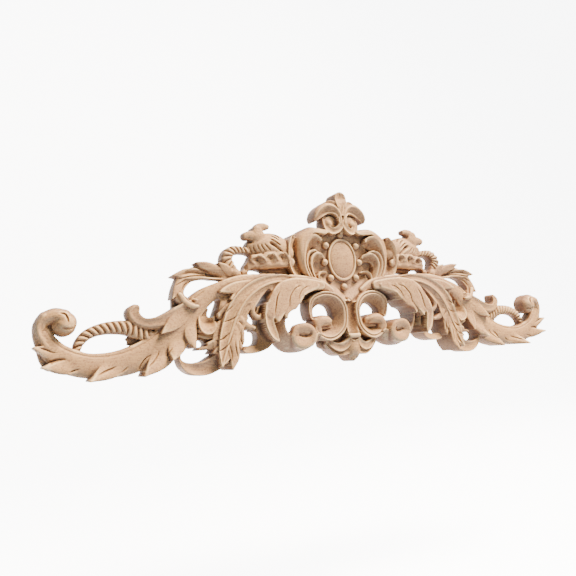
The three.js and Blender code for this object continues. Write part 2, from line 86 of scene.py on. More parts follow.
# Cross sections: rise or fall from the stroke's height at five places from its right edge to its
# left edge, as shares of its half width
SECTIONS = {
    "crown": (-0.28, -0.06, 0, -0.06, -0.28),
    "round": (-0.8, -0.2, 0, -0.2, -0.8),
    "gouge": (0, -0.28, -0.38, -0.28, 0),
    "deep": (0, -0.6, -0.85, -0.6, 0),
    "blade": (-0.05, -0.26, 0, -0.26, -0.05),
    "lap_left": (-0.42, -0.25, -0.12, 0, -0.05),
    "lap_right": (-0.05, 0, -0.12, -0.25, -0.42),
    "flat": (-0.12, -0.02, 0, -0.02, -0.12),
    "bowl": (0, -0.25, -0.6, -0.95, -1.3),
    "fold": (-0.1, -0.3, -0.2, 0, -0.3),
    "dish": (-0.5, -0.25, -0.08, 0, -0.2),
}

# Sections that blend into the wood beside them
BLENDED = ("lap_left", "lap_right", "flat", "fold", "blade")

# Strokes of the gouge: name, section, then rows of s, z, half width and height, then extra cuts
STROKES = [
    ("stem", "crown", [
        (26, 96, 4, 23), (42, 103, 7, 25), (62, 107, 8, 27), (95, 110, 8, 27), (130, 111, 8, 26),
        (160, 108, 9, 25), (185, 101, 9, 23), (206, 91, 11, 22), (222, 77, 13, 22), (238, 58, 16, 22),
        (256, 41, 18, 21), (278, 28, 16.5, 20), (305, 19, 15, 19.5), (335, 17, 14, 19.5),
        (358, 22, 14, 20), (376, 32, 13, 20), (386, 45, 11, 19), (390, 54, 9.5, 18),
    ], {"groove": 1}),
    ("volute", "gouge", [
        (386, 45, 10, 20), (391.5, 55, 7.8, 20), (392, 64, 7.2, 20), (387, 72, 7.5, 21.5),
    ], {"section": (-0.9, -0.05, 0, -0.75, -1.5)}),
    ("volute_floor", "flat", [
        (385, 54, 7, 15), (384, 61, 7, 13), (381, 67, 6, 12),
    ], {}),
    ("volute_top", "round", [
        (392, 62, 6.8, 19), (388.5, 70, 7.5, 21.5), (378, 74.5, 8.5, 24), (369, 71.5, 10, 27.5),
    ], {"section": (-1.2, -0.3, 0, -0.15, -0.8)}),
    ("volute_end", "round", [
        (367, 66.5, 12, 28.5), (368.5, 64, 12.5, 29),
    ], {"section": (-0.95, -0.22, 0, -0.22, -0.95)}),
    ("lobe1", "lap_right", [
        (362, 28, 6, 16), (380, 34, 8, 20), (399, 41, 1.2, 24),
    ], {}),
    ("lobe_base", "flat", [
        (392, 40, 4.5, 12), (388, 29, 6, 13), (383, 22, 7, 13),
    ], {}),
    ("lobe2", "lap_right", [
        (342, 22, 8, 15), (366, 20, 10, 21), (391, 19.5, 1.2, 30),
    ], {}),
    ("lobe3", "lap_right", [
        (298, 20, 8, 15), (322, 12, 10, 22), (345, 1.5, 1.2, 34),
    ], {}),
    ("lobe4", "lap_right", [
        (244, 40, 9, 16), (264, 21, 12, 23), (287, 2, 1.2, 32),
    ], {}),
    ("lobe5", "lap_right", [
        (233, 52, 8, 18), (246, 33, 10, 25), (254, 18, 1.4, 34),
    ], {}),
    ("lobe6", "flat", [
        (225, 64, 6, 19), (229, 46, 7.5, 25), (227, 28, 1.2, 32),
    ], {}),
    ("rope", "round", [
        (356, 34, 4.2, 13), (352.5, 44, 5, 14), (343, 53, 5.8, 15), (328, 58, 6.6, 16.5),
        (312, 59, 7.6, 17.5), (299, 57.5, 8.4, 18.5), (290, 53, 8.4, 18.5), (277, 48, 7, 18.5),
    ], {"twist": 14}),
    ("rope_floor", "flat", [
        (297, 43, 5, 5), (288, 44, 6, 6), (276, 47, 6, 10),
    ], {}),
    ("hook", "gouge", [
        (222, 84, 5, 23), (236, 74, 9, 25), (250, 65.5, 10, 25.5), (266, 61.5, 7.5, 24.5),
        (281, 61.5, 6.2, 22), (290, 66, 7, 20.5), (294.5, 74, 7.4, 19.5), (291.5, 79.5, 5.2, 19),
    ], {"section": (-0.9, -0.3, -0.3, -0.2, 0)}),
    ("hook_lobe", "flat", [
        (236, 70, 9, 22), (249, 60, 8, 25), (264, 49.5, 1.2, 28),
    ], {}),
    ("upper", "fold", [
        (160, 117, 5, 18), (176, 120, 8.5, 17), (193, 122, 9, 16), (210, 121, 9.5, 16),
        (226, 115, 9.5, 17), (236, 104, 7.5, 18), (238, 93, 7, 20), (232, 84, 5, 23),
        (224, 79.5, 3, 26),
    ], {}),
    ("upper_tip0", "lap_left", [
        (168, 118, 5, 17), (178, 127, 5, 19), (186, 133, 1, 19),
    ], {}),
    ("upper_tip1", "lap_left", [
        (180, 121, 6, 16), (200, 128, 6.5, 18), (215, 133.5, 1, 18),
    ], {}),
    ("upper_tip2", "lap_left", [
        (208, 119, 6, 16), (228, 119.5, 6.5, 19), (245.5, 117.5, 1, 20),
    ], {}),
    ("upper_tip3", "lap_left", [
        (237, 112, 4, 16), (241, 100, 5, 19), (247.5, 90, 1, 21),
    ], {}),
    ("upper_back", "flat", [
        (240, 93, 5.5, 11), (240, 80, 6, 9),
    ], {}),
    ("upper_curl", "round", [
        (239, 94, 3, 23), (233.5, 84.5, 3.4, 26), (226, 79.5, 3.2, 27.5), (219, 79, 2, 27),
    ], {}),
    ("small_rope", "round", [
        (137, 151, 4.5, 16), (148, 151, 4.4, 16), (157, 151.5, 5, 16.5), (165, 150, 6, 17.5),
        (171.5, 144.5, 7, 18.5), (173, 136, 7.8, 19), (168, 127.5, 7.2, 19),
    ], {"twist": 10}),
    ("bud", "round", [
        (141, 151, 6, 15), (131, 155, 13, 21), (116, 156, 18, 24), (102, 154.5, 17.5, 24),
        (88, 148, 11, 22),
    ], {"section": (-0.55, -0.13, 0, -0.13, -0.55)}),
    ("bud_neck", "crown", [
        (126, 162, 12, 20), (129, 169, 9.5, 21.5), (130, 177, 6, 20.5),
    ], {}),
    ("bud_tip_mid", "lap_left", [
        (129, 172, 5, 19), (134, 180, 1.2, 16),
    ], {}),
    ("lip_low", "flat", [
        (86, 134, 6, 23.5), (98, 135.5, 8.5, 23.5), (116, 135.5, 9.5, 22.5), (132, 133.5, 8.5, 20),
        (144, 129.5, 7.5, 17), (150, 121.5, 5, 15), (145, 117, 3, 14),
    ], {"section": (-0.4, -0.05, 0, -0.02, -0.1)}),
    ("lip_rim1", "round", [
        (147, 135, 1.1, 18), (141, 139.5, 1.5, 21), (133, 142, 1.7, 23.5), (126, 139.5, 1.5, 24.5),
        (122.5, 135, 1.1, 24),
    ], {}),
    ("lip_rim2", "round", [
        (124.5, 140, 1.2, 24), (119, 144.5, 1.6, 25), (112.5, 144.5, 1.7, 25.5), (108, 141, 1.4, 25.5),
        (105.5, 137, 1.1, 25),
    ], {}),
    ("lip_rim3", "round", [
        (107, 142, 1.2, 25), (102, 146, 1.6, 26), (96, 145.5, 1.7, 26), (91.5, 141.5, 1.4, 26),
        (89.5, 136, 1.1, 25),
    ], {}),
    ("lip_wave1", "flat", [
        (92, 141, 6.5, 24), (103, 141.5, 6.5, 24),
    ], {}),
    ("lip_wave2", "flat", [
        (111, 141.5, 6.5, 24), (120, 141, 6.5, 23),
    ], {}),
    ("lip_wave3", "flat", [
        (128.5, 139, 6.5, 22.5), (137, 138, 6.5, 20),
    ], {}),
    ("bud_floor", "flat", [
        (70, 114, 7, 13), (92, 120, 7, 12), (114, 122, 6, 11), (136, 122, 5, 9),
    ], {}),
    ("ear", "deep", [
        (70, 112, 3.5, 25), (79, 124, 8, 26), (81, 140, 9.5, 27), (80, 156, 9.5, 27),
        (78, 166, 6.5, 25),
    ], {"section": (0, -0.6, -1.2, -1.45, -1.3)}),
    ("crest", "crown", [
        (60, 110, 3, 25), (67.5, 126, 3.5, 26), (71, 145, 4.5, 26.5), (71, 156, 6, 26.5),
        (68.5, 166, 8, 26), (61, 173, 7, 26.5), (50, 179.3, 5.5, 26.5), (40, 179.3, 5.2, 25.5),
        (31, 178.5, 5, 24.5), (25, 179, 3.5, 24),
    ], {"section": (-2.2, -0.9, -0.2, 0, 0)}),
    ("crest_floor", "flat", [
        (10, 178, 6, 12), (28, 171, 8, 12), (46, 168, 8, 14),
    ], {}),
    ("finger1", "deep", [
        (46, 102, 3.5, 25), (57, 114, 4, 26), (63.5, 130, 4.5, 27), (62, 146, 5.5, 27.5),
        (56.5, 158, 8, 27.5), (49, 164.5, 8.5, 27), (42, 164, 6.5, 25),
    ], {"section": (0, -0.15, -0.9, -1.5, -1.7)}),
    ("finger2", "deep", [
        (45, 103, 2.5, 24), (55, 116, 3, 25), (60.5, 130, 3.3, 26), (59.5, 140, 3.8, 26),
        (55.5, 146, 4, 26), (49, 148, 3.8, 25.5), (44, 147.5, 2.5, 23),
    ], {"section": (0, -0.1, -0.7, -1.4, -1.8)}),
    ("finger3", "deep", [
        (42, 103, 2.5, 23), (49, 114, 3, 24), (53.5, 127, 3.5, 25.5), (52.5, 136, 4.8, 26),
        (47, 141.5, 6, 25.5), (40, 142, 5.8, 24), (35, 141, 4, 20),
    ], {"section": (0, -0.15, -0.8, -1.5, -1.8)}),
    ("finger4", "deep", [
        (8, 80, 2.5, 26), (18, 88, 3, 25), (29, 97, 3.3, 24), (38, 106, 3.6, 23),
        (41.5, 113.5, 3.8, 22.5), (38, 119, 3.8, 21.5), (31, 119.5, 3.2, 19),
    ], {"section": (0, -0.2, -1.3, -2.4, -2.8)}),
    ("throat", "flat", [
        (0, 102, 20, 12.2), (0, 92, 17, 12.8), (0, 82, 12, 14), (0, 72, 9, 16.5),
    ], {"section": (0, 0, 0, 0, 0)}),
    ("throat_side", "bowl", [
        (3.5, 85, 5, 21), (13, 93.5, 6.5, 20.5), (24, 102.5, 7, 19.5), (33, 109.5, 6, 18.5),
        (35.5, 114, 4, 17),
    ], {"section": (0, -0.25, -0.55, -0.9, -1.25)}),
    ("throat_low", "crown", [
        (0, 84, 4, 14), (0, 77, 8.5, 15.5), (0, 64, 9, 17.5), (0, 52, 8.5, 19), (0, 42, 9, 21),
        (0, 34, 9.5, 24),
    ], {"section": (0.85, 0.25, 0, 0.25, 0.85)}),
    ("cup", "bowl", [
        (59, 61, 5, 23), (60, 70, 6, 24), (56, 79, 8.5, 25), (47, 83, 10, 26), (36, 83.5, 10.5, 27),
        (25, 79.5, 11, 28), (18.5, 70.5, 11.2, 28), (18, 59, 11.2, 28), (20.5, 48, 11, 28),
        (28, 40, 10.5, 27.5), (37, 37, 10, 27), (46, 39, 8.5, 26.5), (52, 44, 7, 26.5),
    ], {"section": (0.1, 0.1, -0.5, -1.15, -1.5), "rim": 1}),
    ("cup_curl", "round", [
        (53, 42, 6.5, 27), (53.5, 49, 7, 28.5), (48, 54, 7.5, 29), (40, 54.5, 7.5, 28),
        (34, 53, 6, 25), (31, 51, 3.5, 21),
    ], {"section": (-0.8, -0.14, 0, -0.14, -0.8)}),
    ("cup_floor2", "flat", [
        (30, 47.5, 4, 18), (44, 47, 4, 19),
    ], {}),
    ("scroll2", "gouge", [
        (97, 97, 6, 30), (108, 84, 7, 33), (112, 66, 7.5, 33), (111.5, 50, 8, 32), (106, 36, 9, 31),
        (94, 27.5, 11, 31), (78, 25, 10, 31), (63, 28, 8, 31), (55, 33, 6, 30),
    ], {"section": (0, -0.25, -0.7, -1.4, -2.3)}),
    ("scroll2_end", "dish", [
        (91, 33, 6, 32.5), (87, 27.6, 6.8, 33.2), (80.3, 25.8, 7.2, 34), (71, 28.5, 7, 34.5),
        (67, 36, 6.5, 35), (70.5, 42.5, 6.8, 35), (76, 45.3, 6.8, 35),
    ], {}),
    ("scroll2_floor", "flat", [
        (88, 37, 6, 30.5), (68, 37, 6, 31),
    ], {}),
    ("cup_back", "flat", [
        (76, 84, 6, 9), (66, 91, 7, 9), (50, 97, 6, 10),
    ], {}),
    ("scroll3", "bowl", [
        (128, 82, 9, 26), (131, 66, 11.5, 24), (133, 50, 13.5, 23), (134, 37, 13, 23),
        (141, 28, 8.5, 22), (151, 24, 6, 23), (159, 23, 4, 24),
    ], {"section": (0.45, 0.1, -0.2, -0.4, -0.1)}),
    ("scroll4", "gouge", [
        (184, 18, 8, 27), (198, 11, 9.5, 25), (212, 5, 8.5, 23.5), (226, 5, 7.5, 22),
        (236, 11.5, 6.5, 22), (240.5, 22, 5, 22),
    ], {}),
    ("leaf2", "blade", [
        (72, 102, 7, 29), (98, 107, 9, 33), (119, 106, 10, 34), (137, 100, 12, 34.5),
        (152, 90.5, 13.5, 34.5), (163, 79, 14.5, 34), (172, 65, 15, 33), (179, 49, 14, 32.5),
        (185, 34, 12, 33), (190, 20, 8, 34), (196, 6, 1.5, 36),
    ], {"rib": 1}),
    ("leaf2_corner", "flat", [
        (142, 104, 7, 29), (166, 101, 7.5, 29.5), (180, 98.5, 5, 30), (190.5, 96, 1.4, 31),
    ], {}),
    ("leaf2_point", "flat", [
        (148, 98, 8, 30), (164, 92.5, 7.5, 30), (177.5, 86.5, 1.4, 31),
    ], {}),
    ("leaf2_fold", "flat", [
        (166, 86, 9, 26), (181, 82, 9, 21), (192, 74, 7.5, 17), (195, 67, 6, 17),
    ], {}),
    ("leaf2_web", "flat", [
        (186, 94, 4, 20), (184, 86, 7, 23), (184, 78, 8, 25), (187, 70, 6, 22),
    ], {}),
    ("leaf2_web_low", "flat", [
        (190, 54, 7, 26), (194, 42, 8, 26.5), (195, 31, 8, 27), (191, 20, 6, 29), (187, 11, 2.5, 31),
    ], {}),
    ("leaf2_lobe2", "lap_left", [
        (160, 78, 10, 31.5), (176, 73.5, 9.5, 29), (189, 67, 5.5, 25),
    ], {}),
    ("bud_cup", "deep", [
        (207, 68, 9, 17), (207.5, 62, 11, 22), (207.5, 56, 11, 26), (206, 50.5, 6, 27),
    ], {"section": (0.05, -0.3, -0.5, -0.3, 0.05)}),
    ("cup_band1", "round", [
        (218, 50, 2.4, 23), (206, 46.5, 3, 24), (194, 49, 2.6, 26),
    ], {}),
    ("cup_band2", "round", [
        (218, 44.5, 2.2, 20), (206, 41.5, 2.8, 22), (193, 44.5, 2.6, 25),
    ], {}),
    ("cup_floor", "flat", [
        (216, 41, 4, 14), (205, 37, 5, 14), (190, 40, 6, 16),
    ], {}),
    ("leaf2_lobe4", "lap_left", [
        (178, 41, 9, 30), (198, 33.5, 6.5, 27), (220, 27.5, 1.2, 23),
    ], {}),
    ("leaf2_lobe5", "lap_left", [
        (182, 33, 8, 31), (193, 27, 6, 30), (204, 22, 1.2, 29),
    ], {}),
    ("leaf2_tip", "lap_right", [
        (178, 46, 7, 31), (180, 32, 7.5, 34), (179, 16, 6, 36), (184, 1.5, 1.4, 38),
    ], {}),
    ("leaf2_in1", "round", [
        (166, 61, 5, 31), (158, 53, 4.5, 31), (148, 49.5, 2, 30),
    ], {}),
    ("leaf2_side", "lap_right", [
        (172, 52, 6, 31), (169, 40, 7, 31), (169, 26, 2, 31),
    ], {}),
    ("leaf3", "flat", [
        (46, 102, 6, 30), (72, 103.5, 8, 33), (93, 100, 11, 36), (107, 93, 12.5, 37.5),
        (118.5, 81, 11, 38.5), (127, 68, 9, 39),
    ], {}),
    ("leaf3_long", "gouge", [
        (127, 74, 8, 38), (131, 61, 6.5, 39.5), (129.5, 49, 6, 40), (126, 39, 5, 41),
        (122, 31.5, 1.6, 42),
    ], {}),
    ("leaf3_curl", "lap_left", [
        (106, 99, 7, 29), (117, 93.5, 8, 26), (125, 85, 8.5, 22), (132, 75, 8, 20), (137.5, 67, 5, 22),
    ], {"section": (0.8, 0.45, 0, -0.7, -1.4)}),
    ("leaf3_lobe1", "lap_right", [
        (94, 97, 9, 36), (109, 83, 10.5, 38), (117, 68, 8, 39.5), (119, 56, 1.6, 40),
    ], {}),
    ("leaf3_lobe2", "lap_right", [
        (82, 99, 8, 35), (96, 87, 10, 37), (103, 74, 8, 38), (106, 61, 2.4, 39),
    ], {}),
    ("leaf3_lobe3", "lap_right", [
        (70, 101, 7, 33), (82, 94, 9, 35.5), (91, 82, 8, 37), (96, 69, 2, 38),
    ], {}),
    ("leaf3_lobe4", "lap_right", [
        (56, 102, 6, 32), (68, 98.5, 6.5, 34), (77, 89.5, 1.5, 36),
    ], {}),
    ("drop", "round", [
        (0, 30, 5, 29), (0, 20, 9, 31), (0, 11, 11, 30), (0, 5, 7.5, 26),
    ], {}),
    ("collar", "round", [
        (-6, 32, 3.2, 33.5), (6, 32, 3.2, 33.5),
    ], {}),
    ("fan1", "gouge", [
        (6, 31, 2, 31), (11, 22, 4.5, 30), (20, 17.5, 5.5, 28), (29, 20, 5, 26), (38, 27, 3, 24),
    ], {}),
    ("fan2", "gouge", [
        (5, 26, 3, 29), (10, 15, 6, 28), (19, 12, 6, 26), (28, 15.5, 5.5, 24), (38, 23, 4, 22),
    ], {}),
    ("shell_floor", "flat", [
        (8, 30, 7, 15), (22, 25, 8, 14), (38, 24, 7, 13),
    ], {}),
    ("fin_mid", "gouge", [
        (0, 178, 3, 22), (0, 198, 4, 25), (0, 211, 5.5, 26.5), (0, 219, 9, 28), (0, 225.5, 9.8, 26),
    ], {"section": (-0.15, -0.35, -0.45, -0.35, -0.15)}),
    ("fin_floor", "flat", [
        (8, 182, 5, 11), (13, 194, 12, 12), (19, 203, 8, 14),
    ], {"crisp": 1}),
    ("fin_bowl", "flat", [
        (9, 188, 6, 18), (15, 193, 8, 18.5), (22, 190, 7, 18),
    ], {"crisp": 1}),
    ("fin_leaf", "deep", [
        (4, 190, 2.5, 27), (6, 203, 4, 27), (13, 210, 6.5, 26), (23, 211, 8, 25),
        (32.5, 205.5, 7.5, 24), (38.5, 199, 5.3, 22), (40.5, 195, 2.6, 19),
    ], {"section": (-0.5, -0.75, -0.3, 0, -0.45)}),
    ("fin_leaf2", "gouge", [
        (2, 203, 3, 27), (7, 213, 4.5, 26), (14, 217.5, 4.8, 24), (22, 217, 4, 20),
        (28, 213.5, 2.5, 17),
    ], {}),
    ("fin_ring", "gouge", [
        (4, 196, 3, 27), (3, 188, 4, 27), (8, 181, 4.5, 26), (16, 179, 5, 24), (22.5, 183, 5, 22),
        (25, 190, 4, 20), (24, 197, 4, 17),
    ], {}),
]

# Strokes that stand clear of the back plane: name, section, rows, then how far off it they stand
CLEAR_STROKES = [
    ("ring_top", "dish", [
        (75, 45, 6.6, 35), (80.3, 46, 6.6, 35), (88.8, 43.8, 6.2, 34), (92.8, 37.5, 6, 33),
    ], 23),
    ("bud_tip_out", "round", [
        (133, 169, 7, 21), (140, 170, 6, 20), (146, 169, 5.2, 18.5),
    ], 8),
    ("bud_tip_in", "round", [
        (129, 172, 7, 20), (127, 179.5, 6.5, 19), (120, 182.5, 5, 18), (114.5, 182.5, 3.5, 17.5),
    ], 8),
    ("leaf3_rim", "round", [
        (140, 88, 2.6, 31.5), (146.5, 79.5, 3, 32), (150, 71, 3.4, 32.5), (147, 64.5, 3.4, 32),
        (140.5, 62.3, 3.2, 31), (136.5, 66, 2.4, 29),
    ], 21),
]

# Pierced openings: rows of s, z around each
OPENINGS = [
    [
        (221.5, 33), (218, 38), (213, 38.5), (209.5, 34.5), (211, 31), (217, 30.5),
    ],
    [
        (351, 34), (349, 39), (344.5, 44.5), (335, 49), (324, 50.7), (312, 50), (304, 46.5),
        (299.5, 42), (302, 38), (311, 34.5), (322, 32.2), (338, 31),
    ],
    [
        (194.5, 111.5), (205, 114), (220, 111), (229.5, 103.5), (233, 96), (230, 91.5), (221, 97),
        (208, 105),
    ],
    [
        (193, 88), (199, 82), (203.5, 74), (203, 66.5), (197.5, 66), (192.5, 76), (189, 86),
    ],
    [
        (241.5, 22), (236, 29), (229, 30), (223.5, 27.5), (218, 24.5), (212.5, 23), (210.5, 19),
        (212, 14.5), (218, 12.5), (227, 12), (236, 13.5), (241, 17),
    ],
    [
        (126.5, 97.5), (132, 93), (139, 86), (143.5, 79.5), (140.5, 76.5), (134.5, 78), (130.5, 83),
        (126, 89.5), (123, 95),
    ],
    [
        (153, 72), (147, 69), (141, 64), (138.5, 58), (141, 54), (150, 54), (156, 59), (157, 66),
    ],
    [
        (162, 45), (150, 45.5), (141, 44), (140.5, 33), (145, 28.5), (155, 27.5), (162.5, 31),
    ],
    [
        (105, 60), (102, 66), (94, 70), (84, 71.5), (75, 70), (68, 65), (63.5, 58), (62.5, 53),
        (72, 53), (82, 52), (87, 47.5), (91, 43), (96.5, 39.5), (101, 40.5), (104, 46), (105.5, 52),
    ],
    [
        (52.5, 63), (53, 68), (49.5, 74), (43, 77.5), (35, 78), (28, 75), (24.5, 69), (23, 62),
        (23, 56), (27, 57), (34, 60.5), (44, 62),
    ],
    [
        (165, 140), (161, 145.5), (152, 146), (144, 145), (142, 142), (145, 136), (149, 131),
        (151, 126), (156, 122.5), (160, 125), (163.5, 131),
    ],
    [
        (146, 121.5), (141.5, 125.5), (131, 125), (123.5, 122.5), (123, 119.5), (133, 118.5),
        (143, 118.5),
    ],
    [
        (110.5, 120.5), (100, 121), (91, 119.5), (91, 116.5), (101, 116.5), (110.5, 117),
    ],
]

# Fine cuts with the veining tool: rows of s, z, half width and depth
VEINS = [
    [
        (137, 140, 4, 2), (133.5, 137.5, 6.5, 5), (131, 133, 6, 2.5), (129, 129, 3, 0.5),
    ],
    [
        (117, 143.5, 4, 2), (115.5, 140.5, 6.5, 5), (114.5, 135, 6, 2.5), (113, 129, 3, 0.5),
    ],
    [
        (100.5, 144, 4, 2), (98.5, 141, 6.5, 5), (98, 135, 6, 2.5), (97, 129.5, 3, 0.5),
    ],
    [
        (150, 133, 2, 2), (149.5, 128, 4, 3.5), (149, 123, 2.5, 1.5),
    ],
    [
        (95, 39.5, 2, 1), (87, 37.8, 3.2, 3), (79, 35.8, 3.6, 4), (72, 36.3, 3.4, 4), (70.5, 40, 2, 3),
        (74, 41.5, 1, 1),
    ],
    [
        (228, 89, 1.5, 2), (224, 86, 2.2, 3), (221, 84, 1, 1.5),
    ],
    [
        (118, 160.5, 1.8, 3), (112, 158.5, 3.6, 7), (105, 153.5, 2.8, 5), (98, 147.5, 1.6, 3),
        (92, 141.5, 1, 2),
    ],
    [
        (115, 165.5, 1.2, 2), (109, 163, 1.8, 4), (103, 158.5, 1.6, 3.5), (99, 155, 1, 1.5),
    ],
    [
        (112, 170, 1.1, 2), (106, 167.5, 1.4, 3.2), (100, 162.5, 1, 2),
    ],
    [
        (110, 174, 1, 2), (103, 171, 1.3, 3), (97, 166, 1, 2),
    ],
    [
        (124, 158.5, 1, 2), (119, 153.5, 1.4, 3), (114, 148, 0.8, 1.5),
    ],
    [
        (128, 158.5, 1, 2), (126, 154, 1.3, 3), (121, 147, 0.8, 1.5),
    ],
    [
        (133, 158, 0.9, 1.6), (131, 153, 1.2, 2.4), (127, 147, 0.8, 1.5),
    ],
    [
        (138, 157, 0.9, 1.6), (136, 151, 1.2, 2.4), (132, 146, 0.8, 1.5),
    ],
    [
        (142, 156, 0.9, 1.6), (140, 150, 1.2, 2.4), (137, 145, 0.8, 1.5),
    ],
    [
        (134, 173, 1, 2), (141, 170, 4, 6), (140, 163, 4.5, 6), (138, 158, 1.5, 2),
    ],
    [
        (374, 77, 0.9, 2), (368, 75, 1.7, 4.5), (365.5, 70, 1.5, 4), (365, 64.5, 0.8, 1.5),
    ],
    [
        (372, 60.5, 1.2, 2), (365, 59, 1.6, 3), (359, 60, 0.8, 1.5),
    ],
    [
        (395, 41, 0.9, 2), (388, 38.5, 1.5, 3), (381, 35, 0.9, 2), (376, 34, 0.5, 1),
    ],
    [
        (386, 21, 1, 2), (380, 25.5, 2.4, 4), (372, 27, 2.2, 3), (366, 26, 0.8, 1),
    ],
    [
        (366, 12, 0.8, 1.5), (360, 14, 1.2, 2.5), (354, 15.5, 0.7, 1.2),
    ],
    [
        (338, 6.5, 0.8, 2), (330, 10, 1.4, 3), (321, 13, 1.2, 2.5), (314, 15.5, 0.7, 1.2),
    ],
    [
        (311, 7.5, 0.7, 1.5), (306, 11, 1, 2.2), (302, 14.5, 0.6, 1),
    ],
    [
        (291, 7, 0.7, 1.5), (288, 15, 1.2, 3), (282, 22, 1.1, 2.5), (274, 26, 0.6, 1),
    ],
    [
        (283, 11, 0.7, 1.5), (275, 17, 1.2, 2.6), (269, 24, 1, 2), (267, 31, 0.6, 1),
    ],
    [
        (259, 21, 0.7, 1.5), (256, 27, 1, 2.4), (252, 32, 0.6, 1),
    ],
    [
        (240, 112.5, 0.8, 1.8), (225, 116.5, 1.3, 3), (205, 117.5, 1.2, 2.6), (185, 115.5, 0.7, 1.2),
    ],
    [
        (220, 129, 1, 2), (207, 125, 1.6, 4), (195, 120, 1, 2),
    ],
    [
        (238, 117, 2.5, 2), (224, 121.5, 4.5, 5), (207, 121, 5, 6), (192, 118, 4, 5),
        (179, 114.5, 2, 2),
    ],
    [
        (244, 104.5, 0.8, 1.5), (237, 108.5, 1.1, 2.4), (228, 113, 0.6, 1),
    ],
    [
        (236, 99, 0.8, 1.8), (230, 107, 1.2, 2.6), (219, 112, 0.8, 1.4),
    ],
    [
        (78, 101.5, 0.7, 1.5), (89, 98, 1, 2.6), (96.5, 90, 1.1, 2.8), (99.5, 84, 1.1, 2.8),
        (101.5, 70.5, 0.7, 1.5),
    ],
    [
        (112, 96, 0.8, 1.8), (118, 86, 1.2, 3), (121, 74, 1.2, 3), (124, 62, 0.7, 1.5),
    ],
    [
        (66, 101, 0.6, 1.4), (76, 97.5, 0.9, 2.4), (83.5, 90, 0.9, 2.4), (87, 80, 0.6, 1.4),
    ],
    [
        (175, 78, 0.8, 1.8), (186, 70, 1.2, 2.6), (190, 65, 0.7, 1.2),
    ],
    [
        (191, 58, 0.7, 1.6), (179, 61, 1.1, 2.6), (170, 67, 0.6, 1.2),
    ],
    [
        (202, 36, 0.7, 1.6), (192, 38, 1.2, 2.8), (181, 46, 0.7, 1.4),
    ],
    [
        (203, 22, 0.7, 1.6), (192, 26, 1.2, 2.8), (184, 33, 1.1, 2.6), (178, 46, 0.6, 1.2),
    ],
    [
        (184, 10, 0.6, 1.4), (182.5, 20, 1, 2.4), (185, 33, 0.6, 1.2),
    ],
    [
        (175.5, 13, 0.6, 1.4), (177, 25, 1, 2.4), (177, 37, 0.6, 1.2),
    ],
    [
        (168, 48, 0.7, 1.6), (168, 36, 1.1, 2.6), (165, 26, 0.6, 1.2),
    ],
    [
        (216, 62, 3, 1), (210, 60, 6.5, 4), (203, 60, 7, 6), (197, 61.5, 4, 4), (193, 62, 2, 1),
    ],
]

# Balls and beads: s, z, radius, foot height and rise
BEADS = [
    (0, 174.8, 5.2, 12, 7.5),
    (25, 159.2, 5.2, 12, 7.5),
    (29, 135.5, 5.2, 12, 7.5),
    (21, 113.5, 5.2, 12, 7.5),
    (0, 101, 5.2, 12, 7.5),
    (163, 120, 7.2, 13, 7),
    (19.5, 190, 7, 13, 9),
]

# The cartouche: s, z, half width and half height of its field and of the oval, and their heights
FIELD = (0, 138, 50, 40, 12)
OVAL = (0, 139.5, 23.4, 30.4)
OVAL_RIM = 17.0
OVAL_RIM_DROP = 1.2
OVAL_FLOOR = 14.0
OVAL_RISE = 4.5
RIM_SHARE = 0.86

S, Z = np.meshgrid(np.arange(0, SIDE, CELL), np.arange(LOW, HIGH, CELL))

# The height of the wood, the distance inside its outline, and how far off the back it starts
height = np.full(S.shape, NO_WOOD)
inside = np.full(S.shape, FAR_OUTSIDE)
behind = np.zeros(S.shape)


def smooth_line(points, steps):
    """A smooth line through every row of points."""
    rows = np.array(points, float)
    ends = np.vstack([2 * rows[0] - rows[1], rows, 2 * rows[-1] - rows[-2]])
    share = np.linspace(0, 1, steps, endpoint=False)[:, None]
    parts = []
    for k in range(len(rows) - 1):
        a, b, c, d = ends[k:k + 4]
        slope = (c - a) * share
        bend = (2 * a - 5 * b + 4 * c - d) * share ** 2
        turn = (3 * b - a - 3 * c + d) * share ** 3
        parts.append(0.5 * (2 * b + slope + bend + turn))
    parts.append(rows[-1:])
    return np.vstack(parts)


def window(low_s, high_s, low_z, high_z):
    """The slice of the grid that holds a box."""
    first = max(0, int(low_s / CELL))
    last = max(first, min(S.shape[1], int(high_s / CELL) + 2))
    bottom = max(0, int((low_z - LOW) / CELL))
    top = max(bottom, min(S.shape[0], int((high_z - LOW) / CELL) + 2))
    return slice(bottom, top), slice(first, last)


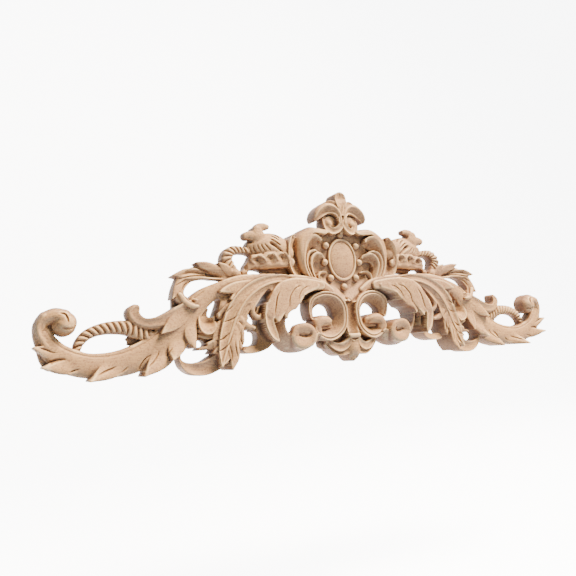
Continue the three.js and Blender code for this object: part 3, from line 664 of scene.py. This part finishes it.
def follow(curve):
    """How far across and along a stroke each grid point near it lies."""
    half = np.maximum(curve[:, 2], 0.3)
    reach = half.max() + 1
    box = window(curve[:, 0].min() - reach, curve[:, 0].max() + reach,
                 curve[:, 1].min() - reach, curve[:, 1].max() + reach)
    shape = S[box].shape
    best = np.full(shape, 9.0)
    across = np.zeros(shape)
    wide = np.ones(shape)
    tall = np.zeros(shape)
    run = np.zeros(shape)
    travelled = 0.0
    for k in range(len(curve) - 1):
        start = curve[k, :2]
        step = curve[k + 1, :2] - start
        length = math.hypot(step[0], step[1])
        if length < 1e-6:
            continue
        ends_s = sorted((curve[k, 0], curve[k + 1, 0]))
        ends_z = sorted((curve[k, 1], curve[k + 1, 1]))
        near = max(half[k], half[k + 1]) + 1
        part = window(ends_s[0] - near, ends_s[1] + near, ends_z[0] - near, ends_z[1] + near)
        inner = (slice(part[0].start - box[0].start, part[0].stop - box[0].start),
                 slice(part[1].start - box[1].start, part[1].stop - box[1].start))
        from_s = S[part] - start[0]
        from_z = Z[part] - start[1]
        share = np.clip((from_s * step[0] + from_z * step[1]) / length ** 2, 0, 1)
        off_s = from_s - share * step[0]
        off_z = from_z - share * step[1]
        here = half[k] + (half[k + 1] - half[k]) * share
        away = np.hypot(off_s, off_z) / here
        closer = away < best[inner]
        side = np.sign(step[0] * off_z - step[1] * off_s)
        level = curve[k, 3] + (curve[k + 1, 3] - curve[k, 3]) * share
        best[inner] = np.where(closer, away, best[inner])
        across[inner] = np.where(closer, side * away, across[inner])
        wide[inner] = np.where(closer, here, wide[inner])
        tall[inner] = np.where(closer, level, tall[inner])
        run[inner] = np.where(closer, travelled + length * share, run[inner])
        travelled += length
    return box, best, np.clip(across, -1, 1), wide, tall, run / travelled


def section_rise(section, across):
    """The cross section's rise at each place across, smooth between its five values."""
    values = np.array(section, float)
    ends = np.concatenate([[2 * values[0] - values[1]], values, [2 * values[-1] - values[-2]]])
    place = (across + 1) * 2
    first = np.minimum(place.astype(int), 3)
    share = place - first
    a = ends[first]
    b = ends[first + 1]
    c = ends[first + 2]
    d = ends[first + 3]
    bend = (2 * a - 5 * b + 4 * c - d) * share ** 2
    turn = (3 * b - a - 3 * c + d) * share ** 3
    return 0.5 * (2 * b + (c - a) * share + bend + turn)


def eased(distance, radius):
    """The drop of a rounded edge at a distance inside it."""
    share = 1 - np.clip(distance / radius, 0, 1)
    return radius * (1 - np.sqrt(1 - share ** 2))


def narrow_cut(away, cut):
    """How deep a narrow cut is at a distance from the edge or the middle of its stroke."""
    depth, middle, width = cut
    return depth * np.exp(-((away - middle) / width) ** 2)


def carve(section, points, cuts):
    """One stroke: a ribbon of wood with its cross section, laid over what is there."""
    curve = smooth_line(points, STROKE_STEPS)
    box, best, across, wide, tall, run = follow(curve)
    if section == "round" and "section" not in cuts:
        rise = -ROUND_RISE * wide * (1 - np.sqrt(1 - ROUND_FULLNESS * across ** 2))
    else:
        rise = wide * section_rise(cuts.get("section", SECTIONS[section]), across)
    edge = wide * (1 - np.abs(across))
    rise = rise - STEP_SHARE * eased(edge, np.minimum(STEP_ROUND, wide * STEP_ROUND_SHARE))
    if "twist" in cuts:
        turn = run * cuts["twist"] - across * TWIST_LEAN
        bead = np.abs(np.sin(np.pi * turn)) ** TWIST_POWER
        rise = rise - TWIST_DEPTH * (1 - bead)
    if "groove" in cuts:
        rise = rise - narrow_cut(wide * (1 - across), GROOVE) * (run > GROOVE_START)
    if "rib" in cuts:
        rise = rise - narrow_cut(-across * wide, RIB) - narrow_cut(across * wide, RIB)
    if "rim" in cuts:
        rise = rise - narrow_cut(wide * (1 + across), RIM_CUT)
    top = tall + rise
    under = height[box]
    if section in BLENDED and "crisp" not in cuts:
        close = np.maximum(TUCK - np.abs(under - top), 0) / TUCK
        over = np.where(under > 0, np.maximum(under, top) + close ** 2 * TUCK * TUCK_SHARE, top)
    else:
        over = np.maximum(under, top)
    height[box] = np.where(best <= 1, over, under)
    inside[box] = np.maximum(inside[box], wide * (1 - best))


def dome(s, z, across, up, foot, rise):
    """A round or oval boss on a flat foot."""
    box = window(s - across - 1, s + across + 1, z - up - 1, z + up + 1)
    share = np.hypot((S[box] - s) / across, (Z[box] - z) / up)
    top = foot + rise * np.sqrt(np.clip(1 - share ** 2, 0, 1))
    height[box] = np.where(share <= 1, np.maximum(height[box], top), height[box])
    inside[box] = np.maximum(inside[box], (1 - share) * min(across, up))


def oval_boss():
    """The smooth oval with its raised rim."""
    s, z, across, up = OVAL
    share = np.hypot((S - s) / across, (Z - z) / up)
    rim_middle = (1 + RIM_SHARE) / 2
    rim = OVAL_RIM - OVAL_RIM_DROP * ((share - rim_middle) / (1 - rim_middle)) ** 2
    boss = OVAL_FLOOR + OVAL_RISE * np.sqrt(np.clip(1 - (share / RIM_SHARE) ** 2, 0, 1))
    top = np.where(share > RIM_SHARE, rim, boss)
    height[:] = np.where(share < 1, np.maximum(height, top), height)


def open_up(points):
    """An opening cut right through, along a smooth closed line."""
    corners = np.array(points, float)
    around = smooth_line(np.vstack([corners[-1:], corners, corners[:2]]), OPENING_STEPS)
    line = around[OPENING_STEPS:OPENING_STEPS * (len(corners) + 1) + 1]
    box = window(line[:, 0].min() - 4, line[:, 0].max() + 4, line[:, 1].min() - 4, line[:, 1].max() + 4)
    x = S[box]
    y = Z[box]
    away = np.full(x.shape, 99.0)
    within = np.zeros(x.shape, bool)
    for k in range(len(line) - 1):
        start = line[k]
        step = line[k + 1] - start
        if step @ step < 1e-9:
            continue
        share = np.clip(((x - start[0]) * step[0] + (y - start[1]) * step[1]) / (step @ step), 0, 1)
        away = np.minimum(away, np.hypot(x - start[0] - share * step[0], y - start[1] - share * step[1]))
        crosses = (start[1] > y) != (line[k + 1, 1] > y)
        slope = step[0] / step[1] if abs(step[1]) > 1e-9 else 0.0
        within ^= crosses & (x < start[0] + slope * (y - start[1]))
    inside[box] = np.minimum(inside[box], np.where(within, -away, away))


def vein(points):
    """A fine cut that follows a line."""
    box, best, _, _, depth, run = follow(smooth_line(points, VEIN_STEPS))
    ends = np.clip(np.minimum(run, 1 - run) * VEIN_TAPER, 0, 1)
    drop = depth * (1 - np.clip(best, 0, 1)) ** VEIN_SHARPNESS * ends
    height[box] = np.where(best < 1, height[box] - drop, height[box])


def softened(values, times):
    """Values averaged with their neighbours."""
    for _ in range(times):
        padded = np.pad(values, 1, mode="edge")
        rows = (padded[:-2] + 2 * padded[1:-1] + padded[2:]) / 4
        values = (rows[:, :-2] + 2 * rows[:, 1:-1] + rows[:, 2:]) / 4
    return values


def spread_out(values, known, times):
    """Known values carried outward over the unknown ones beside them."""
    values = np.where(known, values, 0.0)
    known = known.astype(float)
    for _ in range(times):
        total = np.zeros(values.shape)
        count = np.zeros(values.shape)
        filled = np.pad(values * known, 1)
        weight = np.pad(known, 1)
        for row in range(3):
            for col in range(3):
                total += filled[row:row + values.shape[0], col:col + values.shape[1]]
                count += weight[row:row + values.shape[0], col:col + values.shape[1]]
        new = (known < 0.5) & (count > 0)
        values[new] = total[new] / count[new]
        known[new] = 1.0
    return values


dome(*FIELD, 0)
for _, section, points, cuts in STROKES:
    carve(section, points, cuts)
oval_boss()
for s, z, radius, foot, rise in BEADS:
    dome(s, z, radius, radius, foot, rise)
for points in VEINS:
    vein(points)
for points in OPENINGS:
    open_up(points)
for _, section, points, clear in CLEAR_STROKES:
    before = inside.copy()
    height = np.where(before <= 0, NO_WOOD, height)
    carve(section, points, {})
    behind = np.where((before <= 0) & (inside > before) & (inside > -1), clear, behind)
inside = softened(inside, 1)
height = spread_out(height, (height > 0) & (inside > 0), 4)
height = height - eased(inside, EDGE_ROUND) * (inside > 0) - EDGE_ROUND * (inside <= 0)
height = softened(np.maximum(height, LOWEST_FACE), 1)


def mirrored(values):
    """The right half's values with the left half's beside them."""
    return np.concatenate([values[:, :0:-1], values], axis=1)


def carving():
    """The carved face, the flat back and the walls between them as one closed mesh."""
    top = mirrored(height[::SKIP, ::SKIP])
    depth = mirrored(inside[::SKIP, ::SKIP])
    foot = mirrored(behind[::SKIP, ::SKIP])
    rows, cols = top.shape
    middle = (cols - 1) // 2
    grid_x = np.broadcast_to((np.arange(cols) - middle) * CELL * SKIP, top.shape).ravel()
    grid_z = np.broadcast_to((LOW + np.arange(rows) * CELL * SKIP)[:, None], top.shape).ravel()
    top = top.ravel()
    depth = depth.ravel()
    foot = foot.ravel()
    depth = np.where(np.abs(depth) < 0.04, -0.04, depth)
    base = (np.arange(rows - 1)[:, None] * cols + np.arange(cols - 1)[None, :]).ravel()
    halves = np.vstack([
        np.stack([base, base + 1, base + cols + 1], 1),
        np.stack([base, base + cols + 1, base + cols], 1),
    ])
    held = depth[halves] > 0
    count = held.sum(1)
    whole = halves[count == 3]
    corners = []
    pairs = []
    for number in (1, 2):
        chosen = halves[count == number]
        flags = held[count == number]
        odd = np.argmax(flags if number == 1 else ~flags, axis=1)
        place = np.arange(len(chosen))
        alone = chosen[place, odd]
        after = chosen[place, (odd + 1) % 3]
        last = chosen[place, (odd + 2) % 3]
        corners.append(alone)
        pairs.append((alone, after, last))
    size = rows * cols
    cut_keys = []
    for alone, after, last in pairs:
        for other in (after, last):
            cut_keys.append(np.minimum(alone, other) * size + np.maximum(alone, other))
    keys, places = np.unique(np.concatenate(cut_keys), return_inverse=True)
    lower = keys // size
    upper = keys % size
    share = depth[lower] / (depth[lower] - depth[upper])
    cut_x = grid_x[lower] + (grid_x[upper] - grid_x[lower]) * share
    cut_z = grid_z[lower] + (grid_z[upper] - grid_z[lower]) * share
    cut_top = top[lower] + (top[upper] - top[lower]) * share
    all_x = np.concatenate([grid_x, cut_x])
    all_z = np.concatenate([grid_z, cut_z])
    all_top = np.concatenate([top, cut_top])
    all_foot = np.concatenate([foot, np.maximum(foot[lower], foot[upper])])
    splits = np.cumsum([len(part) for part in cut_keys])[:-1]
    one_after, one_last, two_after, two_last = [part + size for part in np.split(places, splits)]
    single = np.stack([pairs[0][0], one_after, one_last], 1)
    alone, after, last = pairs[1]
    double = np.vstack([
        np.stack([two_after, after, last], 1),
        np.stack([two_after, last, two_last], 1),
    ])
    faces = np.vstack([whole, single, double])
    used, faces = np.unique(faces, return_inverse=True)
    faces = faces.reshape(-1, 3)
    x = all_x[used]
    z = all_z[used] - MIDDLE
    front = all_top[used]
    back = all_foot[used]
    total = len(used)
    edges = np.vstack([faces[:, [0, 1]], faces[:, [1, 2]], faces[:, [2, 0]]])
    forward_keys = edges[:, 0] * total + edges[:, 1]
    backward_keys = edges[:, 1] * total + edges[:, 0]
    rim = edges[~np.isin(forward_keys, backward_keys)]
    walls = np.vstack([
        np.stack([rim[:, 1], rim[:, 0], rim[:, 0] + total], 1),
        np.stack([rim[:, 1], rim[:, 0] + total, rim[:, 1] + total], 1),
    ])
    points = np.vstack([
        np.stack([x, -front, z], 1),
        np.stack([x, -back, z], 1),
    ]) * MM
    triangles = np.vstack([faces, faces[:, ::-1] + total, walls])
    return points, triangles


def mesh_from(name, points, triangles):
    """A mesh object from arrays of points and triangles."""
    mesh = bpy.data.meshes.new(name)
    mesh.vertices.add(len(points))
    mesh.vertices.foreach_set("co", points.astype(np.float32).ravel())
    mesh.loops.add(triangles.size)
    mesh.loops.foreach_set("vertex_index", triangles.astype(np.int32).ravel())
    mesh.polygons.add(len(triangles))
    mesh.polygons.foreach_set("loop_start", np.arange(0, triangles.size, 3, dtype=np.int32))
    mesh.update(calc_edges=True)
    mesh.validate()
    piece = bpy.data.objects.new(name, mesh)
    bpy.context.scene.collection.objects.link(piece)
    return piece


def thinned(piece, limit):
    """The piece with its flattest triangles merged until it has no more than the limit."""
    count = len(piece.data.polygons)
    if count > limit:
        modifier = piece.modifiers.new("thin", "DECIMATE")
        modifier.ratio = limit / count
        shown = piece.evaluated_get(bpy.context.evaluated_depsgraph_get())
        mesh = bpy.data.meshes.new_from_object(shown)
        piece.modifiers.clear()
        piece.data = mesh


class Wire:
    """A value, colour or vector in a material, which can be added, multiplied and mixed."""

    def __init__(self, tree, socket):
        self.tree = tree
        self.socket = socket

    def node(self, kind, settings=None, inputs=None, output=0):
        """A node of this kind with its settings and inputs, and one of its outputs."""
        made = self.tree.nodes.new(kind)
        for key, value in (settings or {}).items():
            setattr(made, key, value)
        for key, value in (inputs or {}).items():
            if isinstance(value, Wire):
                self.tree.links.new(value.socket, made.inputs[key])
            else:
                made.inputs[key].default_value = value
        return Wire(self.tree, made.outputs[output])

    def maths(self, operation, other, swapped=False):
        """This value and another one added, taken away or multiplied."""
        first, second = (other, self) if swapped else (self, other)
        return self.node("ShaderNodeMath", {"operation": operation}, {0: first, 1: second})

    def __add__(self, other):
        return self.maths("ADD", other)

    def __radd__(self, other):
        return self.maths("ADD", other)

    def __sub__(self, other):
        return self.maths("SUBTRACT", other)

    def __rsub__(self, other):
        return self.maths("SUBTRACT", other, swapped=True)

    def __mul__(self, other):
        return self.maths("MULTIPLY", other)

    def __rmul__(self, other):
        return self.maths("MULTIPLY", other)

    def between(self, low, high):
        """Nought below low, one above high, and smooth between."""
        settings = {"interpolation_type": "SMOOTHSTEP"}
        return self.node("ShaderNodeMapRange", settings, {0: self, 1: low, 2: high, 3: 0.0, 4: 1.0})

    def scaled(self, x, y, z):
        """A vector stretched along each axis."""
        return self.node("ShaderNodeVectorMath", {"operation": "MULTIPLY"}, {0: self, 1: (x, y, z)})

    def moved(self, other):
        """A vector with another added to it."""
        return self.node("ShaderNodeVectorMath", {"operation": "ADD"}, {0: self, 1: other})

    def part(self, axis):
        """One part of a vector."""
        return self.node("ShaderNodeSeparateXYZ", {}, {0: self}, "XYZ".index(axis))

    def noise(self, scale, detail=3.0, roughness=0.55):
        """Cloudy variation at a scale."""
        inputs = {"Vector": self, "Scale": scale, "Detail": detail, "Roughness": roughness}
        return self.node("ShaderNodeTexNoise", {"noise_dimensions": "3D"}, inputs)

    def mixed(self, first, second, blend="MIX"):
        """Two colours mixed by this value."""
        settings = {"data_type": "RGBA", "blend_type": blend}
        return self.node("ShaderNodeMix", settings, {0: self, 6: first, 7: second}, 2)


def colour(red, green, blue):
    """A colour from the 0 to 255 values of a screen."""
    parts = []
    for value in (red, green, blue):
        share = value / 255
        parts.append(share / 12.92 if share <= 0.04045 else ((share + 0.055) / 1.055) ** 2.4)
    return (*parts, 1.0)


# Tones of the bare wood, with painted shade for hollows, walls and creases and a painted highlight for
# ridges
PALE = colour(180, 136, 80)
WARM = colour(145, 106, 64)
PINK = colour(142, 104, 74)
WARM_DARK = colour(134, 94, 64)
PORE = colour(110, 66, 38)
HOLLOW_SHADE = colour(150, 140, 134)
MOTTLE = colour(182, 166, 158)
WALL_SHADE = colour(158, 126, 100)
CREASE_SHADE = colour(116, 106, 100)
RIDGE_HIGHLIGHT = colour(232, 196, 142)

# How strongly each tone shows where it is strongest
PINK_SHARE = 0.55
GRAIN_SHARE = 0.35
MOTTLE_SHARE = 0.75
PORE_SHARE = 0.4
WALL_SHADE_SHARE = 0.7
HOLLOW_SHADE_SHARE = 0.62
CREASE_SHADE_SHARE = 0.6
RIDGE_HIGHLIGHT_SHARE = 0.45

# Depths in millimetres at which the painted shade of a hollow and of a crease is darkest
HOLLOW_DEPTH = 12.0
CREASE_DEPTH = 1.3

# The painted shade of creases fades out toward the outline: where it starts inside it, and over what
# width
CREASE_START = 0.8
CREASE_FADE = 1.6

# Points this near the back get no painted shade of hollows or creases and no painted highlight of ridges
BACK_BAND = 0.5

# Finish: roughness of flat wood, of grain and of hollows, gloss, and the feel of the grain
PLAIN_ROUGHNESS = 0.62
GRAIN_ROUGHNESS = 0.14
HOLLOW_ROUGHNESS = 0.1
GLOSS = 0.3
GRAIN_STRENGTH = 0.35
GRAIN_HEIGHT = 0.0004


def wood_with_painted_light():
    """Pale bare wood: grain along the length, mottling and pores, with painted shade on walls, in
    hollows and in creases and a painted highlight on ridges.
    """
    material = bpy.data.materials.new("wood_with_painted_light")
    material.use_nodes = True
    tree = material.node_tree
    surface = tree.nodes["Principled BSDF"]
    start = Wire(tree, None)
    place = start.node("ShaderNodeTexCoord", output=3)
    # The hollow and crease attributes drive painted shade in hollows and creases and a painted highlight
    # on ridges
    hollow = start.node("ShaderNodeAttribute", {"attribute_name": "hollow"}, output=2)
    crease = start.node("ShaderNodeAttribute", {"attribute_name": "crease"}, output=2)
    facing = start.node("ShaderNodeNewGeometry", output=1).part("Y")
    drift = place.noise(9.0, 2.0)
    bent = place.moved(place.noise(14.0, 2.0).scaled(0.004, 0.004, 0.004))
    lines = bent.scaled(1.0, 14.0, 14.0).noise(60.0, 4.0, 0.6)
    fine = bent.scaled(1.0, 10.0, 10.0).noise(260.0, 3.0, 0.6)
    pores = bent.scaled(1.0, 4.0, 4.0).noise(520.0, 1.0).between(0.66, 0.74)
    pale = lines.between(0.3, 0.72).mixed(PALE, WARM)
    toned = (drift.between(0.35, 0.7) * PINK_SHARE).mixed(pale, PINK)
    combed = (fine.between(0.42, 0.7) * GRAIN_SHARE).mixed(toned, WARM_DARK)
    mottle = place.noise(420.0, 3.0, 0.7)
    clouded = (mottle.between(0.46, 0.68) * MOTTLE_SHARE).mixed(combed, MOTTLE, "MULTIPLY")
    speckled = (pores * PORE_SHARE).mixed(clouded, PORE)
    # Painted shade: faces that turn sideways, the walls, are darkened
    steep = (1.0 - facing * facing).between(0.6, 1.0)
    wall_shaded = (steep * WALL_SHADE_SHARE).mixed(speckled, WALL_SHADE, "MULTIPLY")
    # Painted shade: hollows are darkened by their depth, which also roughens them
    deep = hollow.between(0.05, 0.85)
    hollow_shaded = (deep * HOLLOW_SHADE_SHARE).mixed(wall_shaded, HOLLOW_SHADE, "MULTIPLY")
    # Painted shade: creases are darkened
    crease_shaded = (crease.between(0.06, 0.9) * CREASE_SHADE_SHARE).mixed(hollow_shaded, CREASE_SHADE, "MULTIPLY")
    # Painted highlight: ridges are paled
    shaded = ((0.0 - crease).between(0.05, 0.8) * RIDGE_HIGHLIGHT_SHARE).mixed(crease_shaded, RIDGE_HIGHLIGHT)
    tree.links.new(shaded.socket, surface.inputs["Base Color"])
    rough = PLAIN_ROUGHNESS + GRAIN_ROUGHNESS * fine + HOLLOW_ROUGHNESS * deep
    tree.links.new(rough.socket, surface.inputs["Roughness"])
    relief = lines * 0.5 + fine * 0.5 - pores * 0.8
    inputs = {"Strength": GRAIN_STRENGTH, "Distance": GRAIN_HEIGHT, "Height": relief}
    tree.links.new(start.node("ShaderNodeBump", {}, inputs).socket, surface.inputs["Normal"])
    surface.inputs["Specular IOR Level"].default_value = GLOSS
    return material


piece = mesh_from("applique_carving", *carving())
thinned(piece, TRIANGLES)
mesh = piece.data
mesh.shade_smooth()
mesh.set_sharp_from_angle(angle=math.radians(SHARP_ANGLE))


def surroundings(skip, times):
    """The mean height of the wood around each point of the grid."""
    held = (inside > 0).astype(float)[::skip, ::skip]
    around = softened(height[::skip, ::skip] * held, times) / np.maximum(softened(held, times), 0.05)
    return np.kron(around, np.ones((skip, skip)))[:height.shape[0], :height.shape[1]]


def hollowness():
    """How far each point lies below the wood around it, from nought to one, which sets the painted shade
    in hollows.
    """
    return np.clip((surroundings(4, 16) - height) / HOLLOW_DEPTH, 0, 1)


def creases():
    """How far each point lies below its near surroundings, from minus one on ridges to one in cuts: the
    cuts get painted shade and the ridges a painted highlight.
    """
    lower = np.clip((surroundings(2, 10) - height) / CREASE_DEPTH, -1, 1)
    off_edge = np.clip((inside - CREASE_START) / CREASE_FADE, 0, 1)
    return lower * np.where(lower > 0, off_edge, 1)


def sampled(values, x, z):
    """Grid values at points of the mesh."""
    col = np.clip(np.rint(np.abs(x) / MM / CELL).astype(int), 0, values.shape[1] - 1)
    row = np.clip(np.rint((z / MM + MIDDLE - LOW) / CELL).astype(int), 0, values.shape[0] - 1)
    return values[row, col]


points = np.empty(len(mesh.vertices) * 3, np.float32)
mesh.vertices.foreach_get("co", points)
points = points.reshape(-1, 3)
# The hollow and crease depths are stored on the mesh; they set the painted shade in hollows and creases,
# the painted highlight on ridges, and the roughness of hollows
for name, values in (("hollow", hollowness()), ("crease", creases())):
    layer = mesh.attributes.new(name, "FLOAT", "POINT")
    depth = sampled(values, points[:, 0], points[:, 2])
    depth = np.where(points[:, 1] > -BACK_BAND * MM, 0.0, depth)
    layer.data.foreach_set("value", depth.astype(np.float32))
mesh.materials.append(wood_with_painted_light())
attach(piece, "root")
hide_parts("applique")


# The stage in metres: the floor sheet's reach, how low it lies and how it bends up at the back
FLOOR_FRONT = -4.0
FLOOR_BACK = 2.2
FLOOR_LOW = -0.45
FLOOR_TOP = 5.0
FLOOR_HALF_WIDTH = 6.0
FLOOR_BEND = 0.8
FLOOR_STEPS = 24
FLOOR_ROUGHNESS = 0.9

# The floor glows strongly so that it shows near white
FLOOR_GLOW = 8.0

# One soft warm light from above on the right, and an even bluish sky
KEY_PLACE = (0.8, -0.9, 1.7)
KEY_SIZE = 0.9
KEY_POWER = 370
KEY_TINT = (1.0, 0.9, 0.79)
SKY_TINT = (0.8, 0.92, 1.0, 1.0)
SKY_STRENGTH = 0.62


def plain(name, tint, roughness, glow):
    """A plain finish of one tint, with a glow of the same tint."""
    material = bpy.data.materials.new(name)
    material.use_nodes = True
    surface = material.node_tree.nodes["Principled BSDF"]
    surface.inputs["Base Color"].default_value = tint
    surface.inputs["Roughness"].default_value = roughness
    surface.inputs["Emission Color"].default_value = tint
    surface.inputs["Emission Strength"].default_value = glow
    return material


def floor_sheet():
    """A pale sheet that lies flat under the carving and sweeps up behind it."""
    profile = [(FLOOR_FRONT, FLOOR_LOW)]
    for k in range(FLOOR_STEPS + 1):
        angle = math.radians(90 * k / FLOOR_STEPS)
        y = FLOOR_BACK - FLOOR_BEND + FLOOR_BEND * math.sin(angle)
        z = FLOOR_LOW + FLOOR_BEND - FLOOR_BEND * math.cos(angle)
        profile.append((y, z))
    profile.append((FLOOR_BACK, FLOOR_TOP))
    points = []
    for y, z in profile:
        points.append((-FLOOR_HALF_WIDTH, y, z))
        points.append((FLOOR_HALF_WIDTH, y, z))
    faces = []
    for k in range(len(profile) - 1):
        faces.append((2 * k, 2 * k + 1, 2 * k + 3, 2 * k + 2))
    mesh = bpy.data.meshes.new("floor")
    mesh.from_pydata(points, [], faces)
    mesh.shade_smooth()
    sheet = bpy.data.objects.new("floor", mesh)
    bpy.context.scene.collection.objects.link(sheet)
    return sheet


floor = floor_sheet()
floor.data.materials.append(plain("floor_white", colour(250, 250, 250), FLOOR_ROUGHNESS, FLOOR_GLOW))

# The floor's glow is kept off the matt wood
floor.visible_diffuse = False


def soft_light(name, place, size, power, tint):
    """A square soft box aimed at the middle of the carving."""
    light = bpy.data.lights.new(name, "AREA")
    light.shape = "SQUARE"
    light.size = size
    light.energy = power
    light.color = tint
    lamp = bpy.data.objects.new(name, light)
    bpy.context.scene.collection.objects.link(lamp)
    away = np.array(place) / np.linalg.norm(place)
    side = np.cross((0.0, 0.0, 1.0), away)
    side = side / np.linalg.norm(side)
    up = np.cross(away, side)
    rows = [(side[k], up[k], away[k], place[k]) for k in range(3)]
    lamp.matrix_world = Matrix(rows + [(0, 0, 0, 1)])


soft_light("key", KEY_PLACE, KEY_SIZE, KEY_POWER, KEY_TINT)

world = bpy.data.worlds.new("studio")
world.use_nodes = True
sky = world.node_tree.nodes["Background"]
sky.inputs["Color"].default_value = SKY_TINT
sky.inputs["Strength"].default_value = SKY_STRENGTH
bpy.context.scene.world = world

# The viewpoint: from the left and a little below the middle
lens = bpy.data.cameras.new("camera")
lens.sensor_width = 36.0
lens.lens = 35.0
camera = bpy.data.objects.new("camera", lens)
bpy.context.scene.collection.objects.link(camera)
camera.matrix_world = Matrix((
    (0.8816, 0.0139, -0.4718, -0.4401),
    (-0.4662, -0.1304, -0.8750, -0.6652),
    (-0.0737, 0.9914, -0.1085, -0.0960),
    (0.0, 0.0, 0.0, 1.0),
))
bpy.context.scene.camera = camera
